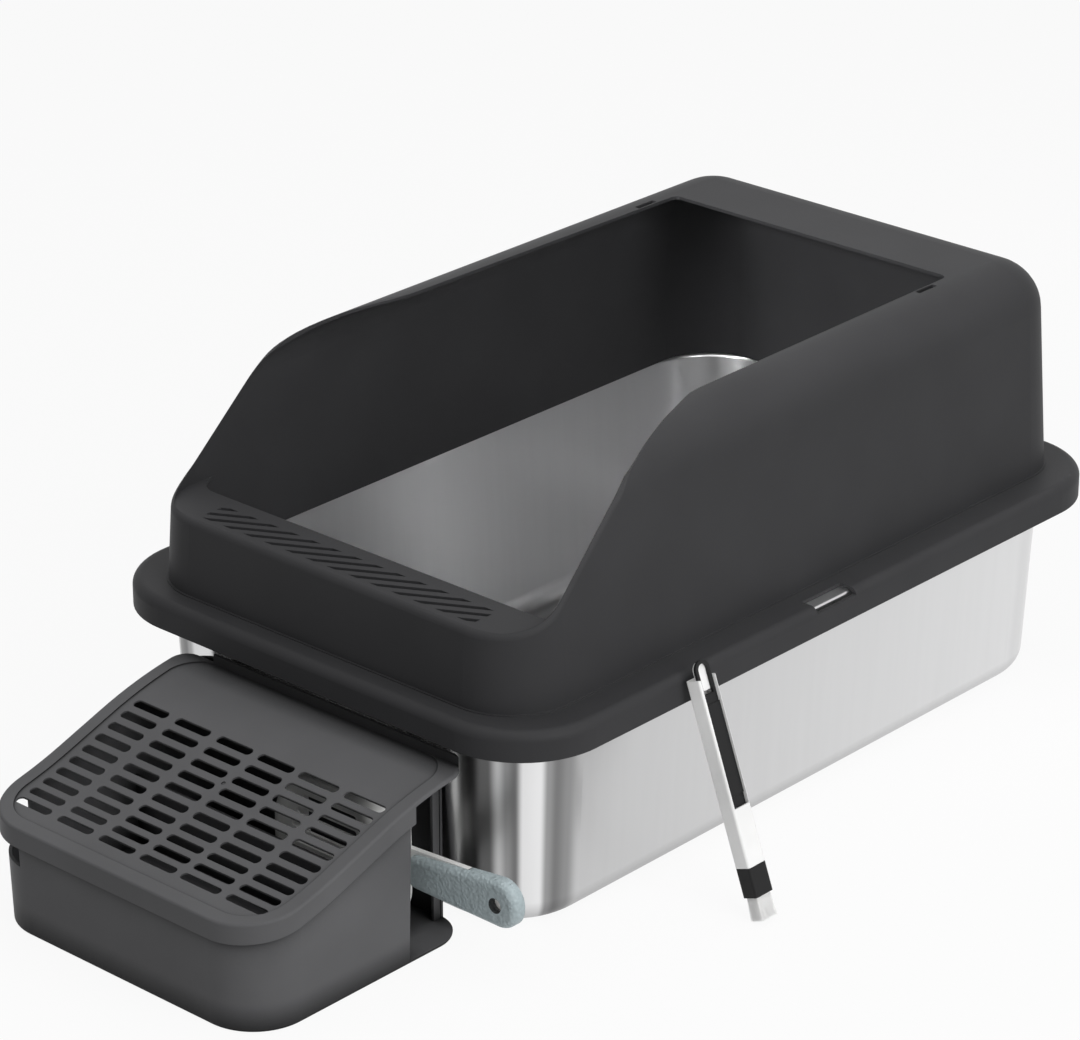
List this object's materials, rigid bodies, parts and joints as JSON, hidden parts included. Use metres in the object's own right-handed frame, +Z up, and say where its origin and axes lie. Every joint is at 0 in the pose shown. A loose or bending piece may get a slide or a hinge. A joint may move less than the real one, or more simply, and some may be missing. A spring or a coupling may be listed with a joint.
{
  "type": "litter box",
  "caption": "Stainless steel litter box with a lift-off plastic hood, slotted entry step with lift-off lid, stored scoop and crevice brush.",
  "frame": {"origin": "middle of the pan floor, on the surface it stands on", "axes": "+Z up, -Y towards the entrance and step, +X to the right of a viewer who faces the back of the box from the step"},
  "size_m": [0.4802, 0.8268, 0.318],
  "materials": {
    "steel": "satin drawn sheet",
    "hood_plastic": "fine matt moulding",
    "step_plastic": "fine matt moulding",
    "scoop_plastic": "smooth",
    "grip_rubber": "soft touch with fine pimples",
    "sleeve_plastic": "smooth",
    "brush_black": "smooth",
    "bristle_white": "nylon strands"
  },
  "bodies": {
    "pan": {"steel_pan": "steel"},
    "hood": {"hood": "hood_plastic"},
    "step": {"step_base": "step_plastic"},
    "lid": {"step_lid": "step_plastic"},
    "scoop": {"scoop_body": "scoop_plastic", "scoop_grip": "grip_rubber"},
    "brush": {"brush_handle": "brush_black", "brush_bristles": "bristle_white"},
    "sleeve": {"brush_sleeve": "sleeve_plastic"}
  },
  "joints": [
    {"name": "hood_lift", "type": "slide", "parent": "pan", "child": "hood", "axis": [0, 0, 1], "range_m": [0, 0.2]},
    {"name": "step_pull", "type": "slide", "parent": "pan", "child": "step", "axis": [0, -1, 0], "range_m": [0, 0.2]},
    {"name": "lid_lift", "type": "slide", "parent": "step", "child": "lid", "axis": [0, -0.8, 0.6], "range_m": [0, 0.12]},
    {"name": "scoop_draw", "type": "slide", "parent": "step", "child": "scoop", "axis": [1, 0, 0], "range_m": [0, 0.16]},
    {"name": "brush_away", "type": "slide", "parent": "pan", "child": "brush", "axis": [1, 0, 0], "range_m": [0, 0.15]},
    {"name": "sleeve_draw", "type": "slide", "parent": "brush", "child": "sleeve", "axis": [-0.3469, 0, 0.9379], "range_m": [0, 0.06]}
  ]
}
